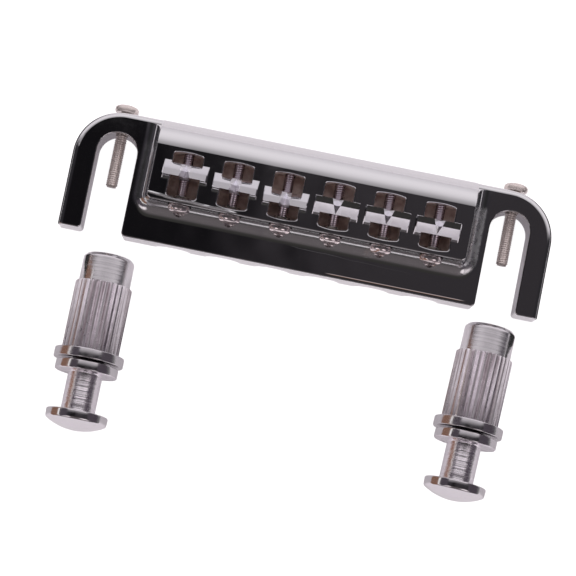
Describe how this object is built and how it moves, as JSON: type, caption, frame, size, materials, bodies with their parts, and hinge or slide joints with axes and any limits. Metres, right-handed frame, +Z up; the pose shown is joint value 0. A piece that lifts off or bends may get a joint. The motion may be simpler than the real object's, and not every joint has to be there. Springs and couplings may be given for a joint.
{
  "type": "hardtail bridge",
  "caption": "Hardtail guitar bridge: a chrome casting with end hooks and a raised block of screw-driven saddles, its hook studs and knurled bushings laid out in front.",
  "frame": {"origin": "on the casting's underside, midway between the two stud slots, on the line through their arc centres", "axes": "+X along the bridge towards the saddles whose slope faces the front, +Y across it to the rolled rear edge (the tail end), +Z up from the underside"},
  "size_m": [0.1006, 0.0685, 0.017],
  "materials": {
    "casting": "polished chrome plate on a die casting",
    "saddle": "polished chrome plate",
    "intonation_screw": "bright nickel plate",
    "clip": "spring steel",
    "ear_screw": "bright nickel plate",
    "stud": "turned and chrome plated",
    "bushing": "knurled and plated"
  },
  "bodies": {
    "casting": {"bridge_casting": "casting"},
    "screw_1": {"intonation_screw_1": "intonation_screw", "screw_clip_1": "clip"},
    "saddle_1": {"saddle_1": "saddle"},
    "screw_2": {"intonation_screw_2": "intonation_screw", "screw_clip_2": "clip"},
    "saddle_2": {"saddle_2": "saddle"},
    "screw_3": {"intonation_screw_3": "intonation_screw", "screw_clip_3": "clip"},
    "saddle_3": {"saddle_3": "saddle"},
    "screw_4": {"intonation_screw_4": "intonation_screw", "screw_clip_4": "clip"},
    "saddle_4": {"saddle_4": "saddle"},
    "screw_5": {"intonation_screw_5": "intonation_screw", "screw_clip_5": "clip"},
    "saddle_5": {"saddle_5": "saddle"},
    "screw_6": {"intonation_screw_6": "intonation_screw", "screw_clip_6": "clip"},
    "saddle_6": {"saddle_6": "saddle"},
    "ear_screw_left": {"ear_screw_left": "ear_screw"},
    "ear_screw_right": {"ear_screw_right": "ear_screw"},
    "bushing_left": {"bushing_left": "bushing"},
    "stud_left": {"stud_left": "stud"},
    "bushing_right": {"bushing_right": "bushing"},
    "stud_right": {"stud_right": "stud"}
  },
  "joints": [
    {"name": "screw_1_turn", "type": "hinge", "parent": "casting", "child": "screw_1", "pos_m": [-0.02625, 0, 0.0106], "axis": [0, 1, 0], "range_deg": [-1881, 2641]},
    {"name": "saddle_1_slide", "type": "slide", "parent": "casting", "child": "saddle_1", "axis": [0, 1, 0], "range_m": [-0.0033, 0.00235]},
    {"name": "screw_2_turn", "type": "hinge", "parent": "casting", "child": "screw_2", "pos_m": [-0.01575, 0, 0.0106], "axis": [0, 1, 0], "range_deg": [-2481, 2001]},
    {"name": "saddle_2_slide", "type": "slide", "parent": "casting", "child": "saddle_2", "axis": [0, 1, 0], "range_m": [-0.0025, 0.0031]},
    {"name": "screw_3_turn", "type": "hinge", "parent": "casting", "child": "screw_3", "pos_m": [-0.00525, 0, 0.0106], "axis": [0, 1, 0], "range_deg": [-3001, 1521]},
    {"name": "saddle_3_slide", "type": "slide", "parent": "casting", "child": "saddle_3", "axis": [0, 1, 0], "range_m": [-0.0019, 0.00375]},
    {"name": "screw_4_turn", "type": "hinge", "parent": "casting", "child": "screw_4", "pos_m": [0.00525, 0, 0.0106], "axis": [0, 1, 0], "range_deg": [-2761, 1761]},
    {"name": "saddle_4_slide", "type": "slide", "parent": "casting", "child": "saddle_4", "axis": [0, 1, 0], "range_m": [-0.0022, 0.00345]},
    {"name": "screw_5_turn", "type": "hinge", "parent": "casting", "child": "screw_5", "pos_m": [0.01575, 0, 0.0106], "axis": [0, 1, 0], "range_deg": [-2761, 1761]},
    {"name": "saddle_5_slide", "type": "slide", "parent": "casting", "child": "saddle_5", "axis": [0, 1, 0], "range_m": [-0.0022, 0.00345]},
    {"name": "screw_6_turn", "type": "hinge", "parent": "casting", "child": "screw_6", "pos_m": [0.02625, 0, 0.0106], "axis": [0, 1, 0], "range_deg": [-2761, 1761]},
    {"name": "saddle_6_slide", "type": "slide", "parent": "casting", "child": "saddle_6", "axis": [0, 1, 0], "range_m": [-0.0022, 0.00345]},
    {"name": "ear_screw_left_slide", "type": "slide", "parent": "casting", "child": "ear_screw_left", "axis": [0, 1, 0], "range_m": [0, 0.008]},
    {"name": "ear_screw_right_slide", "type": "slide", "parent": "casting", "child": "ear_screw_right", "axis": [0, 1, 0], "range_m": [0, 0.008]},
    {"name": "stud_set_left_lift", "type": "slide", "parent": "casting", "child": "bushing_left", "axis": [0, 0, 1], "range_m": [0, 0.03]},
    {"name": "stud_left_slide", "type": "slide", "parent": "bushing_left", "child": "stud_left", "axis": [0.0052, -0.9959, 0.0899], "range_m": [0, 0.008]},
    {"name": "stud_set_right_lift", "type": "slide", "parent": "casting", "child": "bushing_right", "axis": [0, 0, 1], "range_m": [0, 0.03]},
    {"name": "stud_right_slide", "type": "slide", "parent": "bushing_right", "child": "stud_right", "axis": [-0.0434, -0.995, 0.0899], "range_m": [0, 0.008]}
  ],
  "couplings": [
    {"joint": "screw_1_turn", "follows": "saddle_1_slide", "rad_per_m": -13963},
    {"joint": "screw_2_turn", "follows": "saddle_2_slide", "rad_per_m": -13963},
    {"joint": "screw_3_turn", "follows": "saddle_3_slide", "rad_per_m": -13963},
    {"joint": "screw_4_turn", "follows": "saddle_4_slide", "rad_per_m": -13963},
    {"joint": "screw_5_turn", "follows": "saddle_5_slide", "rad_per_m": -13963},
    {"joint": "screw_6_turn", "follows": "saddle_6_slide", "rad_per_m": -13963}
  ]
}
